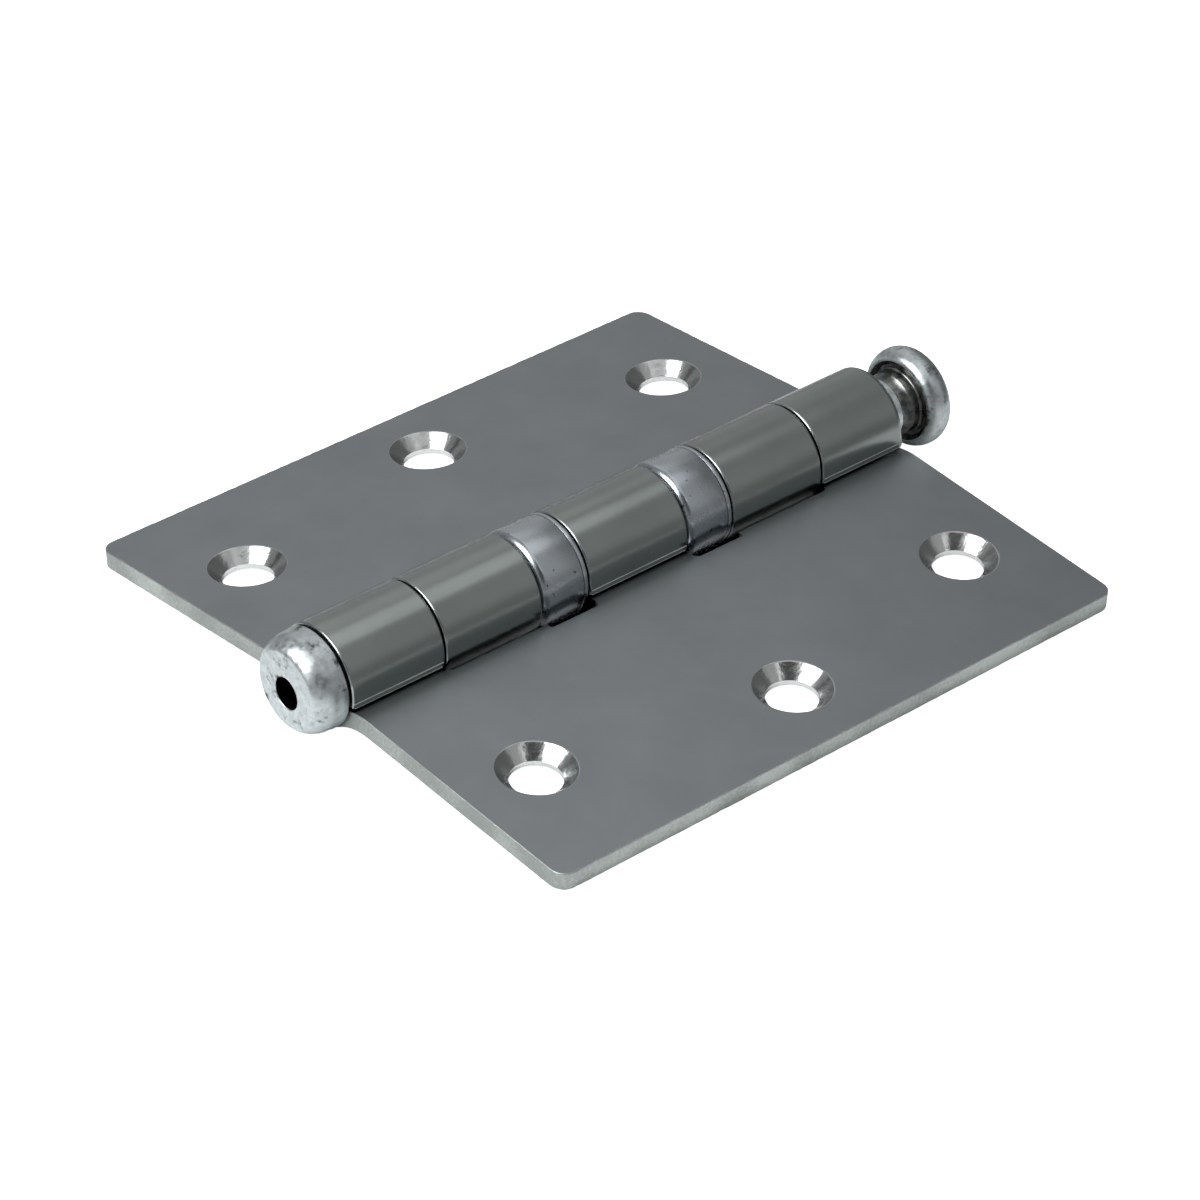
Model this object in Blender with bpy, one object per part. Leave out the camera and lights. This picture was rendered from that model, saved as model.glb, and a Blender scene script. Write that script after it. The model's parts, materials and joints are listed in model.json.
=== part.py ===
"""Ball bearing butt hinge: two rolled sheet leaves, a loose pin, an end plug and two ball bearings.

Lengths are in metres. X runs along the pin, from the end plug to the head of the pin. The front leaf
lies at -Y, the back leaf at +Y, and the hinge stands open on its barrel and its two outer edges.
"""

from math import asin, atan2, ceil, cos, degrees, floor, hypot, pi, radians, sin, sqrt, tan, tau

import bmesh
import bpy
from mathutils import Matrix, Vector

MM = 0.001

# Running and fitting clearances
FIT_GAP = 0.3 * MM
BALL_GAP = 0.2 * MM

# Leaves: flat sheet with curled knuckles
LEAF_LENGTH = 89.0 * MM
LEAF_WIDTH = 44.6 * MM
SHEET = 2.4 * MM
CLOSED_GAP = 2.2 * MM
OUTER_CORNER_RADIUS = 3.5 * MM
SWAGE_RADIUS = 10.0 * MM
CURL_END = radians(-8.0)
NOTCH_CLEARANCE = 1.0 * MM
BEARING_RELIEF = 0.9 * MM
NOTCH_CORNER_RADIUS = 0.8 * MM
SMALL_CORNER_RADIUS = 0.4 * MM

# Knuckles along the barrel
CENTRE_KNUCKLE = 15.8 * MM
INNER_KNUCKLE = 14.8 * MM
BEARING_WIDTH = 7.0 * MM

# Screw holes, countersunk on the face that shows when the hinge is open
HOLE_FROM_END = 10.4 * MM
OUTER_HOLES_FROM_EDGE = 16.8 * MM
MIDDLE_HOLE_FROM_EDGE = 10.0 * MM
HOLE_DIAMETER = 6.5 * MM
COUNTERSINK_DIAMETER = 9.8 * MM
COUNTERSINK_HALF_ANGLE = radians(45.0)

# Loose pin with its button head
PIN_RADIUS = 4.0 * MM
PIN_STAND_OFF = 5.3 * MM
PIN_HEAD_RADIUS = 6.4 * MM
PIN_HEAD_HEIGHT = 4.2 * MM
PIN_HEAD_FACE_RADIUS = 4.6 * MM
PIN_RIM_ROUND = 1.0 * MM
PIN_TIP_CHAMFER = 0.8 * MM
UNDERSIDE_RECESS = 0.6 * MM
UNDERSIDE_LIP = 0.5 * MM
NECK_GROOVE_FROM_HEAD = 2.2 * MM
NECK_GROOVE_WIDTH = 0.5 * MM
NECK_GROOVE_DEPTH = 0.4 * MM

# Plug in the first knuckle
PLUG_HEAD_RADIUS = 5.9 * MM
PLUG_HEAD_HEIGHT = 4.5 * MM
PLUG_FACE_RADIUS = 4.6 * MM
PLUG_SHOULDER_DEPTH = 1.2 * MM
PLUG_RIM_ROUND = 0.5 * MM
PLUG_SHANK_LENGTH = 6.0 * MM
PLUG_HOLE_RADIUS = 2.0 * MM

# Ball bearings
BALL_DIAMETER = 1.8 * MM
COVER_WALL = 0.4 * MM
COVER_FLOOR = 0.5 * MM
COVER_ROUND = 0.9 * MM
LOWER_RACE = 2.2 * MM
RACE_SHOULDER = 0.6 * MM
GROOVE_DEPTH = 0.35 * MM

# Facets
BARREL_FACETS = 48
TURNED_FACETS = 40
BEARING_FACETS = 36
HOLE_FACETS = 32
CORNER_FACETS = 6
ROUND_FACETS = 4
SWAGE_FACETS = 5
GROOVE_FACETS = 3
BALL_FACETS = 10
BALL_RINGS = 6
SHARP_ANGLE = radians(30.0)

# How far a cutter runs past what it cuts, and the distance within which points are one
OVERRUN = 1.0 * MM
SAME_POINT = 0.001 * MM

# Sizes that follow from those above
BORE_RADIUS = PIN_RADIUS + FIT_GAP
BARREL_RADIUS = BORE_RADIUS + SHEET
HALF_LENGTH = LEAF_LENGTH / 2
TOP_FACE_DEPTH = CLOSED_GAP / 2
UNDERSIDE_DEPTH = TOP_FACE_DEPTH + SHEET
NOTCH_EDGE = BARREL_RADIUS + NOTCH_CLEARANCE
TAB_END = -NOTCH_EDGE
CENTRE_END = CENTRE_KNUCKLE / 2
BEARING_START = CENTRE_END + FIT_GAP
BEARING_END = BEARING_START + BEARING_WIDTH
INNER_START = BEARING_END + FIT_GAP
INNER_END = INNER_START + INNER_KNUCKLE
OUTER_START = INNER_END + FIT_GAP
HEAD_UNDERSIDE = HALF_LENGTH + PIN_STAND_OFF
HEAD_FACE = HEAD_UNDERSIDE + PIN_HEAD_HEIGHT
PLUG_SEAT = -HALF_LENGTH - FIT_GAP
PLUG_FACE = PLUG_SEAT - PLUG_HEAD_HEIGHT
PLUG_END = PLUG_SEAT + PLUG_SHANK_LENGTH
HEAD_TRAVEL = PIN_STAND_OFF - FIT_GAP
PIN_TIP = PLUG_END + FIT_GAP + HEAD_TRAVEL

# Inside a bearing, with x from the floor of its cover
COVER_BORE = BARREL_RADIUS - COVER_WALL
RACE_RADIUS = COVER_BORE - FIT_GAP
BALL_RADIUS = BALL_DIAMETER / 2
BALL_PITCH_RADIUS = (PIN_RADIUS + COVER_BORE) / 2
BALLS = floor(tau * BALL_PITCH_RADIUS / (BALL_DIAMETER + BALL_GAP))
LOWER_RACE_BACK = COVER_FLOOR + FIT_GAP
LOWER_RACE_FACE = LOWER_RACE_BACK + LOWER_RACE
BALL_STATION = LOWER_RACE_FACE + BALL_GAP + BALL_RADIUS - GROOVE_DEPTH
UPPER_RACE_FACE = BALL_STATION + BALL_RADIUS + BALL_GAP - GROOVE_DEPTH
SHOULDER_START = BEARING_WIDTH - RACE_SHOULDER


def droop_angle():
    """The leaf's tilt when the barrel and the outer edge of its underside stand on one plane."""
    reach = hypot(LEAF_WIDTH, UNDERSIDE_DEPTH)
    return asin(BARREL_RADIUS / reach) - atan2(UNDERSIDE_DEPTH, LEAF_WIDTH)


def clear_scene():
    for item in list(bpy.data.objects):
        bpy.data.objects.remove(item, do_unlink=True)


def metal(name, colour, roughness, metallic=1.0):
    material = bpy.data.materials.new(name)
    material.use_nodes = True
    shader = material.node_tree.nodes["Principled BSDF"]
    shader.inputs["Base Color"].default_value = (*colour, 1.0)
    shader.inputs["Roughness"].default_value = roughness
    shader.inputs["Metallic"].default_value = metallic
    return material


def add_object(name, mesh, material, parent, location=(0.0, 0.0, 0.0)):
    piece = bpy.data.objects.new(name, mesh)
    bpy.context.scene.collection.objects.link(piece)
    if material is not None:
        piece.data.materials.clear()
        piece.data.materials.append(material)
    piece.parent = parent
    piece.location = location
    return piece


def mesh_from(shape, name):
    bmesh.ops.recalc_face_normals(shape, faces=shape.faces[:])
    mesh = bpy.data.meshes.new(name)
    shape.to_mesh(mesh)
    shape.free()
    mesh.shade_smooth()
    mesh.set_sharp_from_angle(angle=SHARP_ANGLE)
    return mesh


def arc(centre, radius, start, end, steps):
    """Points on an arc, both ends included, as (first, second) pairs."""
    angles = [start + (end - start) * step / steps for step in range(steps + 1)]
    return [(centre[0] + radius * cos(angle), centre[1] + radius * sin(angle)) for angle in angles]


def turned_mesh(name, profile, facets, closed):
    """A profile of (x, radius) points turned about X. An open one starts and ends on the axis."""
    shape = bmesh.new()
    corners = [shape.verts.new((x, 0.0, radius)) for x, radius in profile]
    ends = corners[1:] + corners[:1] if closed else corners[1:]
    edges = [shape.edges.new(pair) for pair in zip(corners, ends)]
    bmesh.ops.spin(
        shape,
        geom=corners + edges,
        cent=(0.0, 0.0, 0.0),
        axis=(1.0, 0.0, 0.0),
        angle=tau,
        steps=facets,
        use_merge=True,
    )
    bmesh.ops.remove_doubles(shape, verts=shape.verts[:], dist=SAME_POINT)
    return mesh_from(shape, name)


def prism_mesh(name, outline, direction):
    """A flat outline of 3-D points, extruded along direction."""
    shape = bmesh.new()
    face = shape.faces.new([shape.verts.new(point) for point in outline])
    extruded = bmesh.ops.extrude_face_region(shape, geom=[face])
    moved = [item for item in extruded["geom"] if isinstance(item, bmesh.types.BMVert)]
    bmesh.ops.translate(shape, verts=moved, vec=direction)
    return mesh_from(shape, name)


def cut(piece, name, cutter_mesh, operation):
    cutter = add_object(name, cutter_mesh, None, piece)
    cutter.hide_render = True
    cutter.display_type = "WIRE"
    boolean = piece.modifiers.new(name, "BOOLEAN")
    boolean.operation = operation
    boolean.object = cutter


def sheet_section():
    """Outline of the bent sheet, as (distance from the axis, height): flat, swage and curl.

    The flat runs in from the outer edge, bends down under the barrel, and curls up the far side,
    over the top and down to the cut edge. The face that shows on the flat becomes the bore.
    """
    middle_depth = TOP_FACE_DEPTH + SHEET / 2
    curl_middle = BARREL_RADIUS - SHEET / 2
    swage_depth = middle_depth + SWAGE_RADIUS
    swage_reach = sqrt((curl_middle + SWAGE_RADIUS) ** 2 - swage_depth**2)
    swage_centre = (swage_reach, -swage_depth)
    tangent = atan2(-swage_depth, swage_reach)
    curl_end = CURL_END - tau
    curl_steps = ceil(BARREL_FACETS * (tangent - curl_end) / tau)
    top_swage = arc(swage_centre, SWAGE_RADIUS + SHEET / 2, pi / 2, pi + tangent, SWAGE_FACETS)
    bore = arc((0.0, 0.0), BORE_RADIUS, tangent, curl_end, curl_steps)
    barrel = arc((0.0, 0.0), BARREL_RADIUS, curl_end, tangent, curl_steps)
    low_swage = arc(swage_centre, SWAGE_RADIUS - SHEET / 2, pi + tangent, pi / 2, SWAGE_FACETS)
    outer_edge = [(LEAF_WIDTH, -UNDERSIDE_DEPTH), (LEAF_WIDTH, -TOP_FACE_DEPTH)]
    return outer_edge + top_swage + bore[1:] + barrel + low_swage[1:]


def rounded_corner(before, corner, after, radius):
    """Points that round the corner of a flat outline, whose sides meet there at a right angle."""
    if radius == 0.0:
        return [corner]
    inward = (before - corner).normalized()
    outward = (after - corner).normalized()
    centre = corner + (inward + outward) * radius
    points = []
    for step in range(CORNER_FACETS + 1):
        turn = pi / 2 * step / CORNER_FACETS
        points.append(centre - outward * radius * cos(turn) - inward * radius * sin(turn))
    return points


def inner_edge(knuckles):
    """The blank's inner edge, as runs of (start, end, distance from the axis): a tab for each
    knuckle of this leaf, a notch for each of the other leaf, a deeper relief beside each bearing."""
    stops = {-HALF_LENGTH, -INNER_START, -CENTRE_END, CENTRE_END, INNER_START, HALF_LENGTH}
    for knuckle in knuckles:
        stops.update(knuckle)
    stops = sorted(stops)
    runs = []
    for start, end in zip(stops, stops[1:]):
        middle = (start + end) / 2
        if any(first < middle < last for first, last in knuckles):
            depth = TAB_END
        elif CENTRE_END < abs(middle) < INNER_START:
            depth = NOTCH_EDGE + BEARING_RELIEF
        else:
            depth = NOTCH_EDGE
        runs.append((start, end, depth))
    return runs


def blank_outline(knuckles):
    """Plan of the flat blank, as (x, distance from the axis). Its tabs run on past the curl."""
    runs = inner_edge(knuckles)
    depths = [None] + [depth for _, _, depth in runs] + [None]
    corners = []
    for index, (start, end, depth) in enumerate(runs):
        for x, beside in ((start, depths[index]), (end, depths[index + 2])):
            if depth == TAB_END:
                radius = 0.0
            elif beside == TAB_END:
                radius = NOTCH_CORNER_RADIUS
            else:
                radius = SMALL_CORNER_RADIUS
            corners.append((Vector((x, depth)), radius))
    corners.append((Vector((HALF_LENGTH, LEAF_WIDTH)), OUTER_CORNER_RADIUS))
    corners.append((Vector((-HALF_LENGTH, LEAF_WIDTH)), OUTER_CORNER_RADIUS))
    outline = []
    for index, (corner, radius) in enumerate(corners):
        before = corners[index - 1][0]
        after = corners[(index + 1) % len(corners)][0]
        outline += rounded_corner(before, corner, after, radius)
    return outline


def screw_hole_mesh():
    """A cutter for one countersunk hole, with its axis on Z and the sheet's top face at z = 0."""
    hole = HOLE_DIAMETER / 2
    rim = COUNTERSINK_DIAMETER / 2
    cone_depth = (rim - hole) / tan(COUNTERSINK_HALF_ANGLE)
    profile = [
        (-SHEET - OVERRUN, 0.0),
        (-SHEET - OVERRUN, hole),
        (-cone_depth, hole),
        (OVERRUN, rim + OVERRUN * tan(COUNTERSINK_HALF_ANGLE)),
        (OVERRUN, 0.0),
    ]
    mesh = turned_mesh("screw_hole", profile, HOLE_FACETS, closed=False)
    mesh.transform(Matrix.Rotation(-pi / 2, 4, "Y"))
    return mesh


def make_leaf(name, side, knuckles, material, axis):
    """side is -1 for the leaf at -Y and 1 for the leaf at +Y. Its object's origin is on the axis."""
    start = -HALF_LENGTH - OVERRUN
    section = [(start, side * reach, height) for reach, height in sheet_section()]
    length = LEAF_LENGTH + 2 * OVERRUN
    leaf = add_object(name, prism_mesh(name, section, (length, 0.0, 0.0)), material, axis)
    leaf.rotation_euler.x = -side * droop_angle()

    below = -BARREL_RADIUS - OVERRUN
    plan = [(x, side * reach, below) for x, reach in blank_outline(knuckles)]
    blank = prism_mesh(name + "_blank", plan, (0.0, 0.0, -2 * below))
    cut(leaf, name + "_blank", blank, "INTERSECT")

    hole = screw_hole_mesh()
    end_hole = HALF_LENGTH - HOLE_FROM_END
    places = [
        (-end_hole, OUTER_HOLES_FROM_EDGE),
        (0.0, MIDDLE_HOLE_FROM_EDGE),
        (end_hole, OUTER_HOLES_FROM_EDGE),
    ]
    for number, (x, from_edge) in enumerate(places, 1):
        reach = LEAF_WIDTH - from_edge
        one = hole.copy()
        one.transform(Matrix.Translation((x, side * reach, -TOP_FACE_DEPTH)))
        cut(leaf, f"{name}_hole_{number}", one, "DIFFERENCE")
    return leaf


def shoulder(face_x, face_radius, full_radius, depth):
    """A quarter ellipse from the edge of a button's face to its full radius."""
    inward = 1.0 if face_x < 0.0 else -1.0
    points = []
    for step in range(ROUND_FACETS + 1):
        turn = pi / 2 * step / ROUND_FACETS
        x = face_x + inward * depth * (1.0 - cos(turn))
        points.append((x, face_radius + (full_radius - face_radius) * sin(turn)))
    return points


def pin_profile():
    lip = PIN_HEAD_RADIUS - PIN_RIM_ROUND
    recess = lip - UNDERSIDE_LIP
    recess_floor = HEAD_UNDERSIDE + UNDERSIDE_RECESS
    groove_end = HEAD_UNDERSIDE - NECK_GROOVE_FROM_HEAD
    groove_start = groove_end - NECK_GROOVE_WIDTH
    groove_radius = PIN_RADIUS - NECK_GROOVE_DEPTH
    rim_centre = (HEAD_UNDERSIDE + PIN_RIM_ROUND, lip)
    rim = arc(rim_centre, PIN_RIM_ROUND, pi, pi / 2, ROUND_FACETS)
    face_depth = PIN_HEAD_HEIGHT - 2 * PIN_RIM_ROUND
    face = shoulder(HEAD_FACE, PIN_HEAD_FACE_RADIUS, PIN_HEAD_RADIUS, face_depth)
    return [
        (PIN_TIP, 0.0),
        (PIN_TIP, PIN_RADIUS - PIN_TIP_CHAMFER),
        (PIN_TIP + PIN_TIP_CHAMFER, PIN_RADIUS),
        (groove_start, PIN_RADIUS),
        (groove_start, groove_radius),
        (groove_end, groove_radius),
        (groove_end, PIN_RADIUS),
        (recess_floor, PIN_RADIUS),
        (recess_floor, recess),
        (HEAD_UNDERSIDE, recess),
        *rim,
        *reversed(face),
        (HEAD_FACE, 0.0),
    ]


def plug_profile():
    shank_radius = BORE_RADIUS - FIT_GAP
    rim_centre = (PLUG_SEAT - PLUG_RIM_ROUND, PLUG_HEAD_RADIUS - PLUG_RIM_ROUND)
    rim = arc(rim_centre, PLUG_RIM_ROUND, pi / 2, 0.0, ROUND_FACETS)
    return [
        (PLUG_FACE, PLUG_HOLE_RADIUS),
        *shoulder(PLUG_FACE, PLUG_FACE_RADIUS, PLUG_HEAD_RADIUS, PLUG_SHOULDER_DEPTH),
        *rim,
        (PLUG_SEAT, shank_radius),
        (PLUG_END, shank_radius),
        (PLUG_END, PLUG_HOLE_RADIUS),
    ]


def cover_profile():
    """A drawn cup with its floor towards the end plug, as (x from the floor, radius)."""
    mouth = SHOULDER_START - FIT_GAP
    outside = arc((COVER_ROUND, BARREL_RADIUS - COVER_ROUND), COVER_ROUND, pi, pi / 2, ROUND_FACETS)
    return [
        (0.0, BORE_RADIUS),
        *outside,
        (mouth, BARREL_RADIUS),
        (mouth, COVER_BORE),
        (COVER_FLOOR, COVER_BORE),
        (COVER_FLOOR, BORE_RADIUS),
    ]


def groove(face, direction):
    """The ball track in a race: an arc whose lowest point is GROOVE_DEPTH below the face."""
    radius = BALL_RADIUS + BALL_GAP
    rise = radius - GROOVE_DEPTH
    half = asin(sqrt(radius**2 - rise**2) / radius)
    points = []
    for step in range(GROOVE_FACETS + 1):
        turn = half * (2 * step / GROOVE_FACETS - 1)
        x = face + direction * (rise - radius * cos(turn))
        points.append((x, BALL_PITCH_RADIUS + radius * sin(turn)))
    return points


def lower_race_profile():
    return [
        (LOWER_RACE_BACK, BORE_RADIUS),
        (LOWER_RACE_FACE, BORE_RADIUS),
        *groove(LOWER_RACE_FACE, 1.0),
        (LOWER_RACE_FACE, RACE_RADIUS),
        (LOWER_RACE_BACK, RACE_RADIUS),
    ]


def upper_race_profile():
    return [
        (BEARING_WIDTH, BORE_RADIUS),
        (UPPER_RACE_FACE, BORE_RADIUS),
        *groove(UPPER_RACE_FACE, -1.0),
        (UPPER_RACE_FACE, RACE_RADIUS),
        (SHOULDER_START, RACE_RADIUS),
        (SHOULDER_START, BARREL_RADIUS),
        (BEARING_WIDTH, BARREL_RADIUS),
    ]


def ball_mesh():
    shape = bmesh.new()
    bmesh.ops.create_uvsphere(
        shape, u_segments=BALL_FACETS, v_segments=BALL_RINGS, radius=BALL_RADIUS
    )
    return mesh_from(shape, "ball")


def make_bearing(number, start, meshes, plating, hard_steel, axis):
    name = f"bearing_{number}"
    station = (start, 0.0, 0.0)
    add_object(name + "_cover", meshes["cover"], plating, axis, station)
    add_object(name + "_lower_race", meshes["lower_race"], hard_steel, axis, station)
    add_object(name + "_upper_race", meshes["upper_race"], hard_steel, axis, station)
    for ball in range(BALLS):
        turn = tau * ball / BALLS
        place = (
            start + BALL_STATION,
            BALL_PITCH_RADIUS * cos(turn),
            BALL_PITCH_RADIUS * sin(turn),
        )
        add_object(f"{name}_ball_{ball + 1:02d}", meshes["ball"], hard_steel, axis, place)


def main():
    clear_scene()
    coating = metal("grey_coating", colour=(0.17, 0.19, 0.19), roughness=0.38, metallic=0.85)
    zinc = metal("zinc_plate", colour=(0.62, 0.64, 0.65), roughness=0.28)
    plating = metal("blue_zinc_plate", colour=(0.42, 0.45, 0.48), roughness=0.22)
    hard_steel = metal("hardened_steel", colour=(0.5, 0.5, 0.52), roughness=0.15)

    axis = bpy.data.objects.new("pin_axis", None)
    bpy.context.scene.collection.objects.link(axis)
    axis.location = (-(HEAD_FACE + PLUG_FACE) / 2, 0.0, BARREL_RADIUS)

    front_knuckles = [
        (-HALF_LENGTH, -OUTER_START),
        (-CENTRE_END, CENTRE_END),
        (OUTER_START, HALF_LENGTH),
    ]
    back_knuckles = [(-INNER_END, -INNER_START), (INNER_START, INNER_END)]
    make_leaf("front_leaf", -1, front_knuckles, coating, axis)
    make_leaf("back_leaf", 1, back_knuckles, coating, axis)

    pin = turned_mesh("pin", pin_profile(), TURNED_FACETS, closed=False)
    add_object("pin", pin, zinc, axis)
    plug = turned_mesh("end_plug", plug_profile(), TURNED_FACETS, closed=True)
    add_object("end_plug", plug, zinc, axis)

    meshes = {
        "cover": turned_mesh("cover", cover_profile(), BEARING_FACETS, closed=True),
        "lower_race": turned_mesh("lower_race", lower_race_profile(), BEARING_FACETS, closed=True),
        "upper_race": turned_mesh("upper_race", upper_race_profile(), BEARING_FACETS, closed=True),
        "ball": ball_mesh(),
    }
    make_bearing(1, -BEARING_END, meshes, plating, hard_steel, axis)
    make_bearing(2, BEARING_START, meshes, plating, hard_steel, axis)
    print("droop", round(degrees(droop_angle()), 3), "balls in a bearing", BALLS)


main()
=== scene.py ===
import json
import random
from math import acos, asin, atan2, ceil, cos, hypot, pi, radians, sin, sqrt, tau

import bmesh
import bpy
from mathutils import Matrix, Vector


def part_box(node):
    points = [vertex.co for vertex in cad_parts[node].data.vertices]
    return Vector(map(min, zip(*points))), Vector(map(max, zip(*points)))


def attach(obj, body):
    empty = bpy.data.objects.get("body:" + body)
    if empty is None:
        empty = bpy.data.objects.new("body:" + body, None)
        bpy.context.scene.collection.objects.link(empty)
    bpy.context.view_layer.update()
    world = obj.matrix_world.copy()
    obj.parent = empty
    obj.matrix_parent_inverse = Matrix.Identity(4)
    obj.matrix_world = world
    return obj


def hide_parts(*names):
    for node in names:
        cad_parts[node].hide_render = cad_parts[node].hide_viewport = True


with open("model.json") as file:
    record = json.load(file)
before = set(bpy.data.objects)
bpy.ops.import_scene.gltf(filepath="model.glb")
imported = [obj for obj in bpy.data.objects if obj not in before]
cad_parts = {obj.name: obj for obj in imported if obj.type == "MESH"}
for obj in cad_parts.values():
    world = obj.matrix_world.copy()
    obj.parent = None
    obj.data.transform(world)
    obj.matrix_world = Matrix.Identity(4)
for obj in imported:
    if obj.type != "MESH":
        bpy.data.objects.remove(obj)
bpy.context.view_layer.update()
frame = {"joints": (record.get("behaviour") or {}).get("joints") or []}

MM = 0.001


# Studio
# The hinge lies on a small round sheet of pale paper, in soft light from the left, against white.
# The camera stands where the photograph was taken from, with its lens and its slight roll.

VIEWED_POINT = Vector((-4.889, -2.242, 0.0)) * MM
VIEW_DISTANCE = 587.94 * MM
VIEW_AZIMUTH = radians(-40.849)
VIEW_ELEVATION = radians(34.231)
VIEW_ROLL = radians(0.187)
SENSOR_MM = 36.0
LENS_MM = 143.287

FLOOR_RADIUS = 88.0 * MM
FLOOR_SEGMENTS = 64
BACKDROP_REACH = 6.0
BACKDROP_LIFT = 0.005 * MM
WINDOW_HALF_LENGTH = 34.0 * MM
WINDOW_WIDTH = 6.0 * MM
STRIP_LIFT = 0.002 * MM
PAPER_WHITE = "#E8E9E9"
# The strip's near-black paper is painted shade under the barrel
PAPER_PAINTED_SHADE = "#1C1D1D"
PAPER_ROUGHNESS = 0.9


def colour(code):
    """An sRGB hex code as linear red, green, blue and alpha."""
    parts = [int(code[place:place + 2], 16) / 255.0 for place in (1, 3, 5)]
    linear = [part / 12.92 if part <= 0.04045 else ((part + 0.055) / 1.055) ** 2.4 for part in parts]
    return (*linear, 1.0)


def fill_inputs(tree, node, inputs):
    """Gives a node's inputs their values, or links to what they follow."""
    for place, value in inputs.items():
        if isinstance(value, bpy.types.NodeSocket):
            tree.links.new(value, node.inputs[place])
        else:
            node.inputs[place].default_value = value


def add_node(tree, kind, inputs=None, **settings):
    """Adds a node, makes its settings and fills its inputs."""
    node = tree.nodes.new(kind)
    for name, value in settings.items():
        setattr(node, name, value)
    fill_inputs(tree, node, inputs or {})
    return node


def as_mesh(shape, name, *materials):
    """The finished shape as a mesh, with its materials."""
    mesh = bpy.data.meshes.new(name)
    for material in materials:
        mesh.materials.append(material)
    shape.to_mesh(mesh)
    shape.free()
    return mesh


def add_object(name, data):
    """An object at the origin, unturned, for a mesh, a lamp or the camera."""
    piece = bpy.data.objects.new(name, data)
    bpy.context.scene.collection.objects.link(piece)
    return piece


camera = add_object("camera", bpy.data.cameras.new("camera"))
camera.data.sensor_width = SENSOR_MM
camera.data.lens = LENS_MM
camera.data.dof.use_dof = False
camera.matrix_world = (
    Matrix.Translation(VIEWED_POINT)
    @ Matrix.Rotation(VIEW_AZIMUTH, 4, "Z")
    @ Matrix.Rotation(pi / 2 - VIEW_ELEVATION, 4, "X")
    @ Matrix.Rotation(VIEW_ROLL, 4, "Z")
    @ Matrix.Translation((0.0, 0.0, VIEW_DISTANCE))
)
bpy.context.scene.camera = camera
bpy.context.scene.view_settings.view_transform = "Standard"

# The metal mirrors the pale sheet. Only the camera sees a white backdrop, laid on it and round it,
# which is open under the near half of the barrel. A near-black strip of paper lies there as painted
# shade, and it is what shows through the gaps beside the bearings.
shape = bmesh.new()
rings = []
for half_length, near_side, far_side, height in (
    (WINDOW_HALF_LENGTH, -WINDOW_WIDTH, 0.0, BACKDROP_LIFT),
    (BACKDROP_REACH, -BACKDROP_REACH, BACKDROP_REACH, BACKDROP_LIFT),
    (BACKDROP_REACH, -BACKDROP_REACH, BACKDROP_REACH, BACKDROP_REACH),
):
    near = ((-half_length, near_side), (half_length, near_side))
    far = ((half_length, far_side), (-half_length, far_side))
    rings.append([shape.verts.new((x, y, height)) for x, y in (*near, *far)])
for inner, outer in zip(rings, rings[1:]):
    for index in range(4):
        shape.faces.new((inner[index - 1], inner[index], outer[index], outer[index - 1]))
shape.faces.new(rings[-1])
backdrop_mesh = as_mesh(shape, "white_backdrop")
shape = bmesh.new()
bmesh.ops.create_circle(shape, cap_ends=True, segments=FLOOR_SEGMENTS, radius=FLOOR_RADIUS)
floor_mesh = as_mesh(shape, "pale_floor")
shape = bmesh.new()
window = Matrix.Diagonal((WINDOW_HALF_LENGTH, WINDOW_WIDTH / 2, 1.0, 1.0))
lie = Matrix.Translation((0.0, -WINDOW_WIDTH / 2, STRIP_LIFT))
bmesh.ops.create_grid(shape, x_segments=1, y_segments=1, size=1.0, matrix=lie @ window)
strip_mesh = as_mesh(shape, "painted_shade_strip")

papers = []
for mesh, shade, glow in (
    (backdrop_mesh, PAPER_WHITE, 1.0),
    (floor_mesh, PAPER_WHITE, 0.0),
    (strip_mesh, PAPER_PAINTED_SHADE, 0.0),
):
    paper = bpy.data.materials.new(f"{mesh.name}_matt_paper")
    paper.use_nodes = True
    tree = paper.node_tree
    shader = tree.nodes["Principled BSDF"]
    surface = {
        "Base Color": colour(shade),
        "Roughness": PAPER_ROUGHNESS,
        "Specular IOR Level": 0.0,
        "Emission Color": colour("#FFFFFF"),
        "Emission Strength": glow,
    }
    fill_inputs(tree, shader, surface)
    mesh.materials.append(paper)
    papers.append(add_object(mesh.name, mesh))
backdrop = papers[0]
backdrop.visible_diffuse = False
backdrop.visible_glossy = False
backdrop.visible_transmission = False
backdrop.visible_shadow = False

# The room that the metal mirrors: a dim grey, with paler and darker patches. Each has a direction,
# the angles from it at which the patch is full and has faded out, and a brightness.
ROOM_GREY = 0.27
PATCHES = [
    ((0.55, 0.62, 0.56), 20.0, 38.0, 0.46),
    ((0.54, 0.81, 0.20), 6.0, 16.0, 0.47),
    ((0.50, -0.62, 0.60), 13.0, 33.0, 0.47),
    ((0.54, 0.0, 0.84), 14.0, 32.0, 0.45),
    ((-0.15, -0.42, 0.90), 21.0, 27.0, 0.80),
    ((1.0, 0.0, 0.15), 36.0, 49.0, 0.15),
    ((-0.34, -0.74, 0.58), 24.0, 27.0, 0.06),
    ((-0.41, 0.83, 0.39), 4.0, 10.0, 0.06),
    ((0.13, -0.73, 0.67), 3.0, 5.0, 1.9),
]
world = bpy.data.worlds.new("studio")
bpy.context.scene.world = world
world.use_nodes = True
sky = world.node_tree
sky.nodes.clear()
outward = add_node(sky, "ShaderNodeTexCoord").outputs["Generated"]
room = (ROOM_GREY, ROOM_GREY, ROOM_GREY, 1.0)
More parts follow.
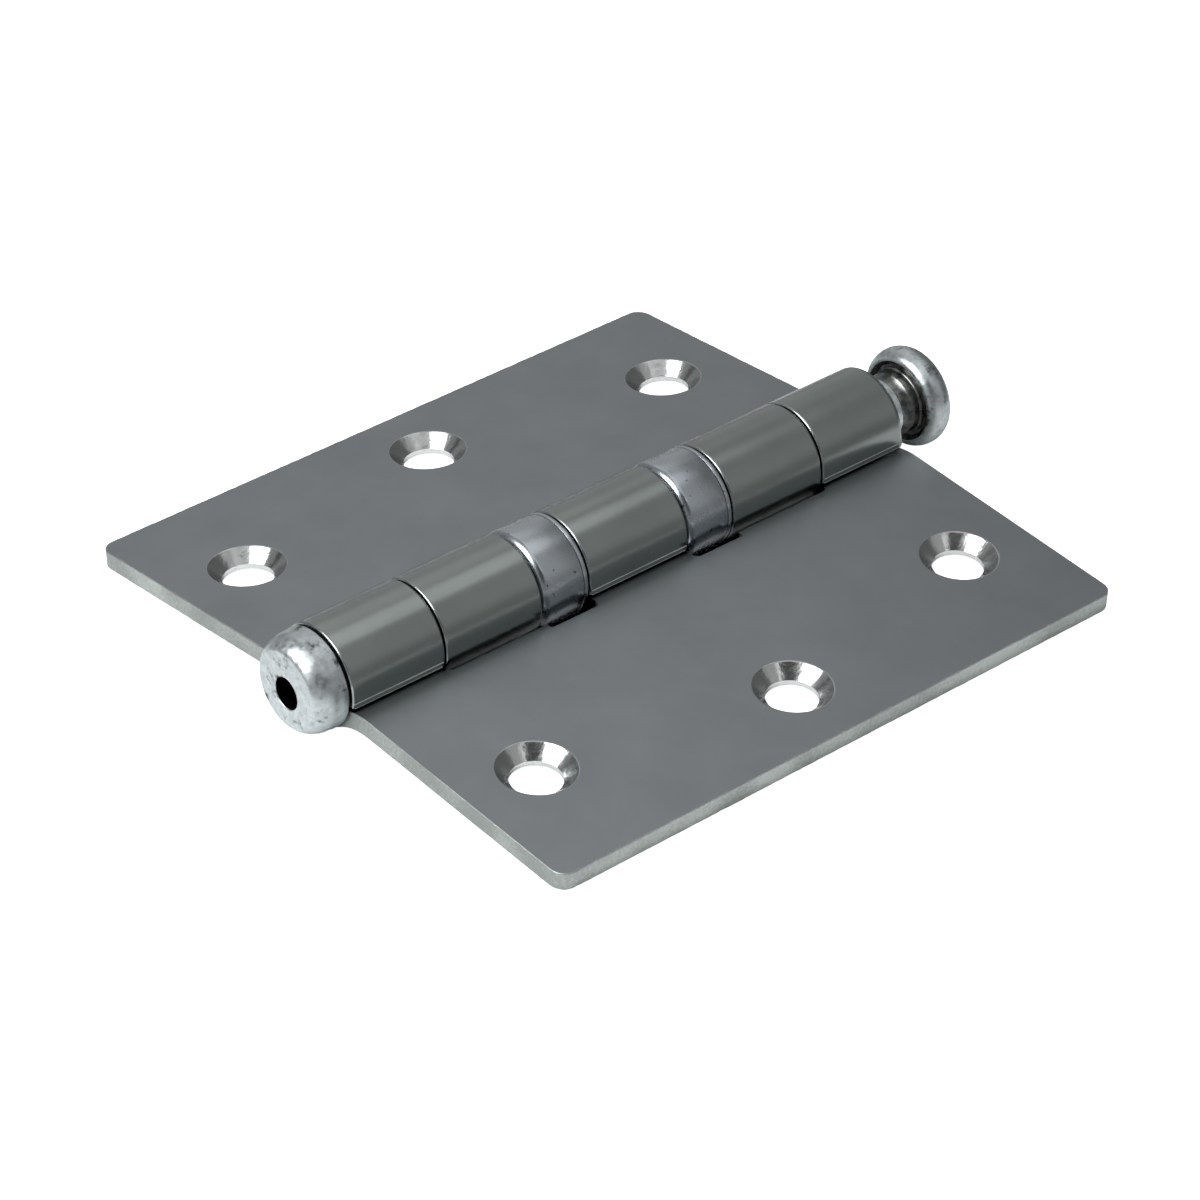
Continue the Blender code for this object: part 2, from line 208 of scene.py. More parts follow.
for direction, full, gone, brightness in PATCHES:
    facing = Vector(direction).normalized()
    toward = add_node(sky, "ShaderNodeVectorMath", {0: outward, 1: facing}, operation="DOT_PRODUCT")
    edge = {0: toward.outputs["Value"], 1: cos(radians(gone)), 2: cos(radians(full))}
    share = add_node(sky, "ShaderNodeMapRange", edge, interpolation_type="SMOOTHSTEP").outputs[0]
    patch = (brightness, brightness, brightness, 1.0)
    room = add_node(sky, "ShaderNodeMix", {0: share, 6: room, 7: patch}, data_type="RGBA").outputs[2]
light = add_node(sky, "ShaderNodeBackground", {"Color": room})
add_node(sky, "ShaderNodeOutputWorld", {0: light.outputs[0]})

# Round soft boxes: the key light at the left, a small one over the barrel for its highlight, and a
# wide faint one behind that the leaves mirror. Each has its place, the spot that it points at, its
# radius and its power in watts.
SOFT_BOXES = [
    ("key_box", (-0.462, 0.042, 0.525), (0.0, 0.0, 0.0), 0.262, 4.7),
    ("barrel_box", (0.09, 0.0, 0.26), (-0.04, 0.0, 0.0), 0.08, 0.035),
    ("leaf_box", (0.15, 0.30, 0.39), (-0.04, -0.02, 0.0), 0.16, 0.06),
]
for name, place, aim, radius, power in SOFT_BOXES:
    lamp = bpy.data.lights.new(name, "AREA")
    lamp.shape = "DISK"
    lamp.size = 2 * radius
    lamp.energy = power
    soft_box = add_object(name, lamp)
    facing = (Vector(place) - Vector(aim)).to_track_quat("Z", "Y").to_matrix().to_4x4()
    soft_box.matrix_world = Matrix.Translation(place) @ facing


# Leaves
# Two punched blanks of 2.4 mm sheet steel, each swaged down and curled into its knuckles round the
# pin, plated, then coated in a satin mid-grey. The countersinks are turned bright after coating.

SHEET = 2.4 * MM
LEAF_WIDTH = 44.6 * MM
CLOSED_GAP = 2.2 * MM
SWAGE_RADIUS = 10.0 * MM
CURL_END = radians(-13.0)
FIT_GAP = 0.3 * MM
INNER_KNUCKLE = 14.8 * MM
NOTCH_CLEARANCE = 1.0 * MM
BEARING_RELIEF = 0.9 * MM
OUTER_CORNER = 2.0 * MM
TAB_CORNER = 0.6 * MM
NOTCH_CORNER = 0.8 * MM
RELIEF_CORNER = 0.4 * MM
EDGE_ROUND = 0.12 * MM
TOUCH = 0.01 * EDGE_ROUND
TORN_SPREAD = (0.6, 1.6)
KNUCKLE_ROUND = 0.24 * MM
SUPPORT = 0.1 * MM
ROUND_STEPS = 4
FLAT_STEPS = 6
OUTER_STEPS = 16
SIDE_STOP = 1.0 * MM
SWAGE_STEPS = 12
CURL_STEP = radians(3.0)
TAIL = 0.95 * MM
BURR_HEIGHT = 0.1 * MM
BURR_HALF_WIDTH = 0.07 * MM
BURR_SPREAD = (0.7, 1.1)
END_ROUND = 0.7 * MM
NICK_STEP = 0.6 * MM
SLIT_PAINTED_SHADE_END = 7.2 * MM
WALL_PAINTED_SHADE_END = 7.9 * MM
HOLE_STEPS = 96
CUT_TOLERANCE = 0.0001 * MM
SHARP_ANGLE = radians(35.0)

HOLE_RADIUS = 3.25 * MM
SINK_RADIUS = 4.9 * MM
HOLE_EDGE = 0.07 * MM
HOLE_FROM_END = 10.4 * MM
OUTER_HOLES_FROM_EDGE = 16.8 * MM
MIDDLE_HOLE_FROM_EDGE = 10.0 * MM

joints = {joint["name"]: joint for joint in frame["joints"]}
AXIS = Vector(joints["leaf_swing"]["pos_m"])
BARREL_RADIUS = AXIS.z
BORE_RADIUS = BARREL_RADIUS - SHEET
HALF_LENGTH = (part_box("front_leaf")[1].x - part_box("front_leaf")[0].x) / 2
BEARING_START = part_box("bearing_2_cover")[0].x - AXIS.x
BEARING_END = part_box("bearing_2_upper_race")[1].x - AXIS.x
CENTRE_END = BEARING_START - FIT_GAP
INNER_START = BEARING_END + FIT_GAP
INNER_END = INNER_START + INNER_KNUCKLE
OUTER_START = INNER_END + FIT_GAP

MIDDLE_DEPTH = (CLOSED_GAP + SHEET) / 2
CURL_RADIUS = BARREL_RADIUS - SHEET / 2
SWAGE_DEPTH = MIDDLE_DEPTH + SWAGE_RADIUS
SWAGE_REACH = sqrt((CURL_RADIUS + SWAGE_RADIUS) ** 2 - SWAGE_DEPTH**2)
SWAGE_ANGLE = pi / 2 - atan2(SWAGE_DEPTH, SWAGE_REACH)
SWAGE_LENGTH = SWAGE_ANGLE * SWAGE_RADIUS
CURL_ANGLE = tau - CURL_END - (pi / 2 - SWAGE_ANGLE)
CURL_START = SWAGE_REACH - SWAGE_LENGTH
TAB_END = CURL_START - CURL_ANGLE * CURL_RADIUS
NOTCH_EDGE = BARREL_RADIUS + NOTCH_CLEARANCE
RELIEF_EDGE = NOTCH_EDGE + BEARING_RELIEF
UNDERSIDE = CLOSED_GAP / 2 + SHEET
DROOP = asin(BARREL_RADIUS / hypot(LEAF_WIDTH, UNDERSIDE)) - atan2(UNDERSIDE, LEAF_WIDTH)


def arc_points(corner, before, after, radius, steps):
    """The corner of a flat outline, whose sides meet at a right angle, rounded in steps."""
    inward = (before - corner).normalized()
    outward = (after - corner).normalized()
    centre = corner + (inward + outward) * radius
    turns = [pi / 2 * step / steps for step in range(steps + 1)]
    return [centre - (outward * cos(turn) + inward * sin(turn)) * radius for turn in turns]


def blank_outline(knuckles):
    """The flat blank's outline as (x, distance along the sheet): the tabs that will be curled, the
    notches for the other leaf's knuckles, the deeper reliefs beside the bearings, the plain edges."""
    stops = {-HALF_LENGTH, -INNER_START, -CENTRE_END, CENTRE_END, INNER_START, HALF_LENGTH}
    for knuckle in knuckles:
        stops.update(knuckle)
    stops = sorted(stops)
    depths = [None]
    for start, end in zip(stops, stops[1:]):
        middle = (start + end) / 2
        if any(first < middle < last for first, last in knuckles):
            depths.append(TAB_END)
        else:
            depths.append(RELIEF_EDGE if CENTRE_END < abs(middle) < INNER_START else NOTCH_EDGE)
    depths.append(None)
    corners = []
    for index, (start, end) in enumerate(zip(stops, stops[1:]), 1):
        depth = depths[index]
        for x, beside in ((start, depths[index - 1]), (end, depths[index + 1])):
            if depth == TAB_END:
                corners.append((x, depth, TAB_CORNER))
            elif beside == TAB_END:
                corners.append((x, depth, NOTCH_CORNER))
            else:
                corners.append((x, depth, RELIEF_CORNER))
    corners.append((HALF_LENGTH, LEAF_WIDTH, OUTER_CORNER))
    corners.append((-HALF_LENGTH, LEAF_WIDTH, OUTER_CORNER))
    outline = []
    side_stops = (CURL_START, CURL_START - SIDE_STOP, TAB_END + 2 * SIDE_STOP)
    for index, (x, depth, radius) in enumerate(corners):
        corner = Vector((x, depth))
        before = Vector(corners[index - 1][:2])
        after = Vector(corners[(index + 1) % len(corners)][:2])
        steps = OUTER_STEPS if radius == OUTER_CORNER else FLAT_STEPS
        if depth == TAB_END and corners[index - 1][0] == x:
            outline += [Vector((x, depth)) for depth in side_stops]
        outline += arc_points(corner, before, after, radius, steps)
        if depth == TAB_END and corners[(index + 1) % len(corners)][0] == x:
            outline += [Vector((x, depth)) for depth in reversed(side_stops)]
    return outline


def inward_mitres(outline):
    """For each point, the step inwards that moves both its sides in by one unit of length."""
    mitres = []
    for index, point in enumerate(outline):
        sides = (point - outline[index - 1], outline[(index + 1) % len(outline)] - point)
        first, second = [Vector((-side.y, side.x)).normalized() for side in sides]
        mitres.append((first + second) / (1.0 + first.dot(second)))
    return mitres


def split_sides(outline):
    """The outline with the long sides of the flat cut into short steps, for its uneven torn edge."""
    split = []
    for index, point in enumerate(outline):
        following = outline[(index + 1) % len(outline)]
        side = following - point
        steps = ceil(side.length / NICK_STEP) if min(point.y, following.y) >= CURL_START else 1
        split += [point + side * step / steps for step in range(steps)]
    return split


def edge_round(point, draw):
    """The knuckles' edges are tumbled rounder than the torn ones of the flat, the last one most."""
    if point.y > CURL_START - SIDE_STOP / 2:
        return EDGE_ROUND * draw.uniform(*TORN_SPREAD)
    last_end = point.x > HALF_LENGTH - SUPPORT and point.y > TAB_END + SIDE_STOP
    return END_ROUND if last_end else KNUCKLE_ROUND


def join_rings(shape, rings, slot, layers):
    """Quads between neighbouring closed rings of corners, all in one finish."""
    faces = []
    for below, above in zip(rings, rings[1:]):
        for index in range(len(below)):
            corner = (index + 1) % len(below)
            face = shape.faces.new((below[index], below[corner], above[corner], above[index]))
            face[layers["slot"]] = slot
            faces.append(face)
    return faces


COATED, SHEARED, TURNED, WALL_PAINTED_LIGHT = 0, 1, 2, 3


def flat_blank(name, knuckles, mirrored):
    """The punched blank before it is bent, with x along the pin, y along the sheet, z its height."""
    shape = bmesh.new()
    layers = {
        "slot": shape.faces.layers.int.new("finish"),
        "wear_and_highlight": shape.verts.layers.float.new("wear_and_highlight"),
        "curled": shape.verts.layers.float.new("curled"),
        "slit_painted_shade": shape.verts.layers.float.new("slit_painted_shade"),
        "uv": shape.loops.layers.uv.new("turned"),
    }
    outline = split_sides(blank_outline(knuckles))
    mitres = inward_mitres(outline)
    draw = random.Random(len(knuckles))
    rounds = [edge_round(point, draw) for point in outline]
    half = SHEET / 2
    turns = [pi / 2 * step / ROUND_STEPS for step in range(ROUND_STEPS + 1)]
    # Each row of the edge: how far in and up it lies in radii, an extra rise, and how worn it is, painted
    # lighter as wear and as a highlight along the rounded edge
    rows = [(0.0, -1.0, -SUPPORT, 0.0)]
    rows += [(1 - cos(turn), sin(turn) - 1, 0.0, sin(2 * turn)) for turn in turns]
    rows += [(1.0, 0.0, 0.0, 0.0)]
    rings = []
    for face in (-1, 1):
        section = []
        for number, (across, up, extra, wear_and_highlight) in enumerate(rows):
            inset = SUPPORT if number == len(rows) - 1 else 0.0
            ring = []
            for point, mitre, radius in zip(outline, mitres, rounds):
                place = point + mitre * (radius * across + inset)
                corner = shape.verts.new((place.x, place.y, face * (half + radius * up + extra)))
                corner[layers["wear_and_highlight"]] = wear_and_highlight if point.y < CURL_START else 0.0
                ring.append(corner)
            section.append(ring)
        rings += section[::-1] if face == -1 else section
    walls = join_rings(shape, rings, COATED, layers)
    for face in walls:
        centre = face.calc_center_median()
        on_end = centre.y > CURL_START and abs(centre.x) > OUTER_START + FIT_GAP
        on_side = centre.y > RELIEF_EDGE + SUPPORT
        if (on_side or on_end) and abs(centre.z) < half - TOUCH:
            face[layers["slot"]] = SHEARED

    fills = {-1: [rings[0]], 1: [rings[-1]]}
    end_hole = HALF_LENGTH - HOLE_FROM_END
    places = [
        (-end_hole, OUTER_HOLES_FROM_EDGE),
        (0.0, MIDDLE_HOLE_FROM_EDGE),
        (end_hole, OUTER_HOLES_FROM_EDGE),
    ]
    throat = half - (SINK_RADIUS - HOLE_RADIUS)
    # Down each hole: radius, height, the finish of the band that starts there, and how worn it is,
    # painted lighter as wear and as a highlight on the rim
    profile = [
        (SINK_RADIUS + 3 * HOLE_EDGE, half, COATED, 0.0),
        (SINK_RADIUS + HOLE_EDGE, half, TURNED, 0.3),
        (SINK_RADIUS, half - 0.3 * HOLE_EDGE, TURNED, 1.0),
        (SINK_RADIUS - HOLE_EDGE, half - 1.2 * HOLE_EDGE, TURNED, 0.0),
        # The reamed wall below the countersink takes the near-white finish that is painted light
        (HOLE_RADIUS, throat, WALL_PAINTED_LIGHT, 0.0),
        (HOLE_RADIUS, EDGE_ROUND - half, WALL_PAINTED_LIGHT, 0.0),
        (HOLE_RADIUS + 0.3 * EDGE_ROUND, 0.3 * EDGE_ROUND - half, COATED, 0.5),
        (HOLE_RADIUS + EDGE_ROUND, -half, COATED, 0.0),
        (HOLE_RADIUS + 2 * EDGE_ROUND, -half, COATED, 0.0),
    ]
    for x, from_edge in places:
        hole_rings = []
        for radius, height, _, wear_and_highlight in profile:
            ring = []
            for step in range(HOLE_STEPS):
                turn = tau * step / HOLE_STEPS
                place = (x + radius * cos(turn), LEAF_WIDTH - from_edge + radius * sin(turn), height)
                corner = shape.verts.new(place)
                corner[layers["wear_and_highlight"]] = wear_and_highlight
                ring.append(corner)
            hole_rings.append(ring)
        for row, pair in enumerate(zip(hole_rings, hole_rings[1:])):
            upper, lower = profile[row], profile[row + 1]
            levels = (upper, upper, lower, lower)
            for number, face in enumerate(join_rings(shape, pair, upper[2], layers)):
                marks = (number, number + 1, number + 1, number)
                for loop, mark, (radius, height, _, _) in zip(face.loops, marks, levels):
                    loop[layers["uv"]].uv = (mark / HOLE_STEPS, (radius - height) / MM)
        fills[1].append(hole_rings[0])
        fills[-1].append(hole_rings[-1])

    for boundaries in fills.values():
        edges = []
        for ring in boundaries:
            edges += [shape.edges.get((ring[index - 1], ring[index])) for index in range(len(ring))]
        bmesh.ops.triangle_fill(shape, use_beauty=True, edges=edges)

    bends = [SWAGE_REACH - SWAGE_LENGTH * step / SWAGE_STEPS for step in range(SWAGE_STEPS + 1)]
    curl_steps = ceil(CURL_ANGLE / CURL_STEP)
    bends += [CURL_START - CURL_ANGLE * CURL_RADIUS * step / curl_steps for step in range(1, curl_steps)]
    burrs = (TAB_END + TAIL, TAB_END + KNUCKLE_ROUND + BURR_HALF_WIDTH)
    bends = [bend for bend in bends if bend > TAB_END + TAIL + 2 * BURR_HALF_WIDTH]
    bends += [burr + side * BURR_HALF_WIDTH for burr in burrs for side in (1, 0, -1)]
    for bend in bends:
        bmesh.ops.bisect_plane(
            shape,
            geom=shape.verts[:] + shape.edges[:] + shape.faces[:],
            dist=CUT_TOLERANCE,
            plane_co=(0.0, bend, 0.0),
            plane_no=(0.0, 1.0, 0.0),
        )
    bmesh.ops.triangulate(shape, faces=[face for face in shape.faces if len(face.verts) > 4])
    for corner in shape.verts:
        corner[layers["curled"]] = 1.0 if corner.co.y < CURL_START else 0.0
        # Near the slit under each curl, and on the notch walls beside the barrel, the coating is painted
        # near black as painted shade
        on_top = corner.co.z > half - TOUCH and corner.co.y < SLIT_PAINTED_SHADE_END
        on_wall = EDGE_ROUND - half < corner.co.z < half and CURL_START < corner.co.y < WALL_PAINTED_SHADE_END
        corner[layers["slit_painted_shade"]] = 1.0 if on_top or on_wall else 0.0
        on_burr = any(abs(corner.co.y - burr) < TOUCH for burr in burrs)
        if on_burr and corner.co.z < TOUCH - half:
            corner.co.z -= BURR_HEIGHT * draw.uniform(*BURR_SPREAD)
            for face in corner.link_faces:
                face[layers["slot"]] = SHEARED
    bmesh.ops.recalc_face_normals(shape, faces=shape.faces[:])
    if mirrored:
        bmesh.ops.reverse_faces(shape, faces=shape.faces[:])
    mesh = as_mesh(shape, name)
    mesh.shade_smooth()
    return add_object(name, mesh)


def new_tree(name, result, sockets):
    """A Geometry Nodes tree with the named inputs of each kind and a geometry as its result."""
    tree = bpy.data.node_groups.new(name, "GeometryNodeTree")
    for kind, labels in sockets.items():
        for label in labels:
            tree.interface.new_socket(label, in_out="INPUT", socket_type=f"NodeSocket{kind}")
    tree.interface.new_socket(result, in_out="OUTPUT", socket_type="NodeSocketGeometry")
    return tree, add_node(tree, "NodeGroupInput").outputs


def rolling_tree():
    """Bends a flat blank round the pin: straight leaf, swage down under the barrel, curl, cut end."""
    lengths = ("Middle depth", "Swage radius", "Swage reach", "Swage length", "Curl radius", "Curl length")
    finishes = ("Coating", "Sheared edge", "Turned sink", "Hole wall")
    sockets = {
        "Geometry": ("Blank",),
        "Float": ("Side", *lengths, "Droop"),
        "Vector": ("Axis",),
        "Material": finishes,
    }
    tree, given = new_tree("rolled_leaf", "Leaf", sockets)
    position = add_node(tree, "GeometryNodeInputPosition").outputs[0]
    place = add_node(tree, "ShaderNodeSeparateXYZ", {0: position}).outputs

    # For each point, one after another: how far round the swage it lies and where that puts it, then
    # how far round the curl, and how far along the straight bit at its cut end
    known = {name: given[name] for name in (*lengths, "Droop")}
    known.update(along=place["Y"], up=place["Z"])
    for result, operation, *parts in (
        ("short", "SUBTRACT", "Swage reach", "along"),
        ("drawn", "MAXIMUM", "short", 0.0),
        ("bent", "MINIMUM", "drawn", "Swage length"),
        ("turn", "DIVIDE", "bent", "Swage radius"),
        ("sine", "SINE", "turn"),
        ("cosine", "COSINE", "turn"),
        ("arm", "ADD", "Swage radius", "up"),
        ("drawn in", "MULTIPLY", "arm", "sine"),
        ("straight", "MAXIMUM", "along", "Swage reach"),
        ("swage y", "SUBTRACT", "straight", "drawn in"),
        ("raised", "MULTIPLY", "arm", "cosine"),
        ("low", "ADD", "Swage radius", "Middle depth"),
        ("swage z", "SUBTRACT", "raised", "low"),
        ("curl start", "SUBTRACT", "Swage reach", "Swage length"),
        ("past", "SUBTRACT", "curl start", "along"),
        ("curled", "MAXIMUM", "past", 0.0),
        ("over", "SUBTRACT", "curled", "Curl length"),
        ("tail", "MAXIMUM", "over", 0.0),
        ("rolled", "SUBTRACT", "curled", "tail"),
        ("full turn", "DIVIDE", "Swage length", "Swage radius"),
        ("first", "SUBTRACT", "full turn", pi / 2),
        ("through", "DIVIDE", "rolled", "Curl radius"),
        ("turn", "SUBTRACT", "first", "through"),
        ("sine", "SINE", "turn"),
        ("cosine", "COSINE", "turn"),
        ("arm", "SUBTRACT", "Curl radius", "up"),
        ("round y", "MULTIPLY", "arm", "cosine"),
        ("curl y", "MULTIPLY_ADD", "tail", "sine", "round y"),
        ("round z", "MULTIPLY", "arm", "sine"),
        ("fallen", "MULTIPLY", "tail", "cosine"),
        ("curl z", "SUBTRACT", "round z", "fallen"),
        ("in curl", "GREATER_THAN", "curled", 0.0),
        ("lean", "MULTIPLY", "Droop", -1.0),
    ):
        inputs = {number: known.get(part, part) for number, part in enumerate(parts)}
        known[result] = add_node(tree, "ShaderNodeMath", inputs, operation=operation).outputs[0]

    # The leaf leans until its far edge rests on the floor, and is moved to the hinge's axis
    bends = []
    for part in ("swage", "curl"):
        inputs = {0: place["X"], 1: known[f"{part} y"], 2: known[f"{part} z"]}
        bends.append(add_node(tree, "ShaderNodeCombineXYZ", inputs).outputs[0])
    inputs = {0: known["in curl"], 1: bends[0], 2: bends[1]}
    shape = add_node(tree, "GeometryNodeSwitch", inputs, input_type="VECTOR").outputs[0]
    inputs = {"Vector": shape, "Angle": known["lean"]}
    leaned = add_node(tree, "ShaderNodeVectorRotate", inputs, rotation_type="X_AXIS").outputs[0]
    sided = add_node(tree, "ShaderNodeCombineXYZ", {0: 1.0, 1: given["Side"], 2: 1.0}).outputs[0]
    inputs = {0: leaned, 1: sided, 2: given["Axis"]}
    world = add_node(tree, "ShaderNodeVectorMath", inputs, operation="MULTIPLY_ADD").outputs[0]
    inputs = {"Geometry": given["Blank"], "Position": world}
    bent_leaf = add_node(tree, "GeometryNodeSetPosition", inputs).outputs[0]
    finished = add_node(tree, "GeometryNodeRealizeInstances", {0: bent_leaf}).outputs[0]
    inputs = {"Name": "finish"}
    finish = add_node(tree, "GeometryNodeInputNamedAttribute", inputs, data_type="INT").outputs[0]
    for number, name in enumerate(finishes):
        inputs = {2: finish, 3: number}
        chosen = add_node(tree, "FunctionNodeCompare", inputs, data_type="INT", operation="EQUAL")
        inputs = {"Geometry": finished, "Selection": chosen.outputs[0], "Material": given[name]}
        finished = add_node(tree, "GeometryNodeSetMaterial", inputs).outputs[0]
    add_node(tree, "NodeGroupOutput", {0: finished})
    return tree


def apply_tree(piece, tree, values):
    """Runs a tree on a piece once, keeps the result as its plain mesh and drops the modifier."""
    modifier = piece.modifiers.new(tree.name, "NODES")
    modifier.node_group = tree
    for socket in tree.interface.items_tree:
        if socket.in_out == "INPUT" and socket.name in values:
            modifier[socket.identifier] = values[socket.name]
    graph = bpy.context.evaluated_depsgraph_get()
    plain = bpy.data.meshes.new_from_object(piece.evaluated_get(graph), depsgraph=graph)
    piece.modifiers.remove(modifier)
    piece.data = plain
    piece.data.name = piece.name


def new_material(name):
    """A metal with its tree, its shader and the Object coordinates that its patterns read."""
    material = bpy.data.materials.new(name)
    material.use_nodes = True
    tree = material.node_tree
    shader = tree.nodes["Principled BSDF"]
    shader.inputs["Metallic"].default_value = 1.0
    return material, tree, shader, add_node(tree, "ShaderNodeTexCoord").outputs["Object"]


# Between which values most of a noise lies, and the narrower middle of them
NOISE_SPAN = {1: 0.3, 2: 0.7}
MIDDLE_SPAN = {1: 0.35, 2: 0.65}

# Satin metallic topcoat over zinc plate: aluminium flake in a mid-grey lacquer. The eye gets a soft
# blurred reflection with a trace of orange peel, glossier and a touch warmer on the knuckles, and
# lighter metal where edges are worn, which also paints a highlight along the rounded edges. Near the
# slit under each curl and on the notch walls beside the barrel, it is painted near black as painted
# shade.
CLOUD_SIZE, CHIP_SIZE, STREAK_WIDTH, PEEL_SIZE = 9.0 * MM, 1.6 * MM, 0.5 * MM, 0.9 * MM
STREAK_SQUEEZE = 0.02
FLAT_ROUGHNESS, KNUCKLE_ROUGHNESS, STREAK_ROUGHNESS = 0.36, 0.25, 0.012
coating, tree, shader, place = new_material("satin_grey_metallic_lacquer")
cloud = add_node(tree, "ShaderNodeTexNoise", {"Vector": place, "Scale": 1 / CLOUD_SIZE, "Detail": 3.0})
tone = add_node(tree, "ShaderNodeMapRange", {0: cloud.outputs[0], **NOISE_SPAN})
inputs = {0: tone.outputs[0], 6: colour("#92979A"), 7: colour("#999EA1")}
lacquer = add_node(tree, "ShaderNodeMix", inputs, data_type="RGBA")
curled = add_node(tree, "ShaderNodeAttribute", attribute_name="curled").outputs["Fac"]
inputs = {0: curled, 6: lacquer.outputs[2], 7: colour("#FDFFF7")}
body = add_node(tree, "ShaderNodeMix", inputs, data_type="RGBA", blend_type="MULTIPLY")
wear_and_highlight = add_node(tree, "ShaderNodeAttribute", attribute_name="wear_and_highlight").outputs["Fac"]
chip = add_node(tree, "ShaderNodeTexNoise", {"Vector": place, "Scale": 1 / CHIP_SIZE, "Detail": 4.0})
patchy = add_node(tree, "ShaderNodeMapRange", {0: chip.outputs[0], **MIDDLE_SPAN, 3: 0.15})
inputs = {0: wear_and_highlight, 1: patchy.outputs[0]}
bare_and_highlit = add_node(tree, "ShaderNodeMath", inputs, operation="MULTIPLY", use_clamp=True)
# Lighter bare metal where the edges are worn, which also paints a highlight along the rounded knuckle ends
# and hole rims
inputs = {0: bare_and_highlit.outputs[0], 6: body.outputs[2], 7: colour("#C8CCCE")}
skin = add_node(tree, "ShaderNodeMix", inputs, data_type="RGBA")
drawn = add_node(tree, "ShaderNodeMapping", {"Vector": place, "Scale": (STREAK_SQUEEZE, 1.0, 1.0)})
inputs = {"Vector": drawn.outputs[0], "Scale": 1 / STREAK_WIDTH, "Detail": 3.0}
streaks = add_node(tree, "ShaderNodeTexNoise", inputs)
inputs = {0: curled, 3: FLAT_ROUGHNESS, 4: KNUCKLE_ROUGHNESS}
satin = add_node(tree, "ShaderNodeMapRange", inputs).outputs[0]
inputs = {0: streaks.outputs[0], **NOISE_SPAN, 3: -STREAK_ROUGHNESS, 4: STREAK_ROUGHNESS}
uneven = add_node(tree, "ShaderNodeMapRange", inputs).outputs[0]
gloss = add_node(tree, "ShaderNodeMath", {0: uneven, 1: curled, 2: satin}, operation="MULTIPLY_ADD")
peel = add_node(tree, "ShaderNodeTexNoise", {"Vector": place, "Scale": 1 / PEEL_SIZE, "Detail": 3.0})
inputs = {"Strength": 0.3, "Distance": 0.01 * MM, "Height": peel.outputs[0]}
grain = add_node(tree, "ShaderNodeBump", inputs)
slit_painted_shade = add_node(tree, "ShaderNodeAttribute", attribute_name="slit_painted_shade").outputs["Fac"]
# Near black where the slit mark is set: painted shade in the slit under each curl and on the notch walls
inputs = {0: slit_painted_shade, 6: skin.outputs[2], 7: colour("#141616")}
finish = add_node(tree, "ShaderNodeMix", inputs, data_type="RGBA")
surface = {
    "Base Color": finish.outputs[2],
    "Roughness": gloss.outputs[0],
    "Normal": grain.outputs[0],
}
fill_inputs(tree, shader, surface)

# The blank's sheared edges, coated thinly with the rest: light, matt and grained by the tearing
TEAR_SIZE, PATCH_SIZE, PATCH_SHARE = 0.4 * MM, 7.0 * MM, 1.2
MOTTLE_SPAN = {1: 0.85, 2: 1.35}
sheared, tree, shader, place = new_material("lacquered_sheared_edge")
tears = add_node(tree, "ShaderNodeTexNoise", {"Vector": place, "Scale": 1 / TEAR_SIZE, "Detail": 4.0})
broad = add_node(tree, "ShaderNodeTexNoise", {"Vector": place, "Scale": 1 / PATCH_SIZE, "Detail": 1.0})
inputs = {0: broad.outputs[0], 1: PATCH_SHARE, 2: tears.outputs[0]}
mottle = add_node(tree, "ShaderNodeMath", inputs, operation="MULTIPLY_ADD")
tone = add_node(tree, "ShaderNodeMapRange", {0: mottle.outputs[0], **MOTTLE_SPAN})
inputs = {0: tone.outputs[0], 6: colour("#A4AAA7"), 7: colour("#C5CBC8")}
tint = add_node(tree, "ShaderNodeMix", inputs, data_type="RGBA")
inputs = {"Strength": 0.6, "Distance": 0.05 * MM, "Height": tears.outputs[0]}
rough = add_node(tree, "ShaderNodeBump", inputs)
fill_inputs(tree, shader, {"Base Color": tint.outputs[2], "Normal": rough.outputs[0], "Roughness": 0.42})

# Bare steel, turned with a countersink: fine rings round the hole, which stretch every reflection
# across them into bright and dark sectors, broken up a little where the tool has chattered
RING_WIDTH_IN_MM, CHATTER_SIZE = 0.15, 1.1 * MM
turned, tree, shader, place = new_material("bright_turned_steel")
marks = add_node(tree, "ShaderNodeUVMap", uv_map="turned").outputs[0]
depth = add_node(tree, "ShaderNodeSeparateXYZ", {0: marks}).outputs["Y"]
inputs = {"W": depth, "Scale": 1 / RING_WIDTH_IN_MM, "Detail": 3.0}
rings = add_node(tree, "ShaderNodeTexNoise", inputs, noise_dimensions="1D")
chatter = add_node(tree, "ShaderNodeTexNoise", {"Vector": place, "Scale": 1 / CHATTER_SIZE, "Detail": 3.0})
inputs = {"Strength": 0.5, "Distance": 0.12 * MM, "Height": chatter.outputs[0]}
waves = add_node(tree, "ShaderNodeBump", inputs)
inputs = {"Strength": 0.25, "Distance": 0.012 * MM, "Height": rings.outputs[0], "Normal": waves.outputs[0]}
fine = add_node(tree, "ShaderNodeBump", inputs)
inputs = {0: rings.outputs[0], 6: colour("#A8AAAA"), 7: colour("#CFD1D1")}
tone = add_node(tree, "ShaderNodeMix", inputs, data_type="RGBA")
tangent = add_node(tree, "ShaderNodeTangent", direction_type="UV_MAP", uv_map="turned")
surface = {
    "Base Color": tone.outputs[2],
    "Normal": fine.outputs[0],
    "Tangent": tangent.outputs[0],
    "Roughness": 0.21,
    "Anisotropic": 0.5,
    "Anisotropic Rotation": 0.25,
}
fill_inputs(tree, shader, surface)

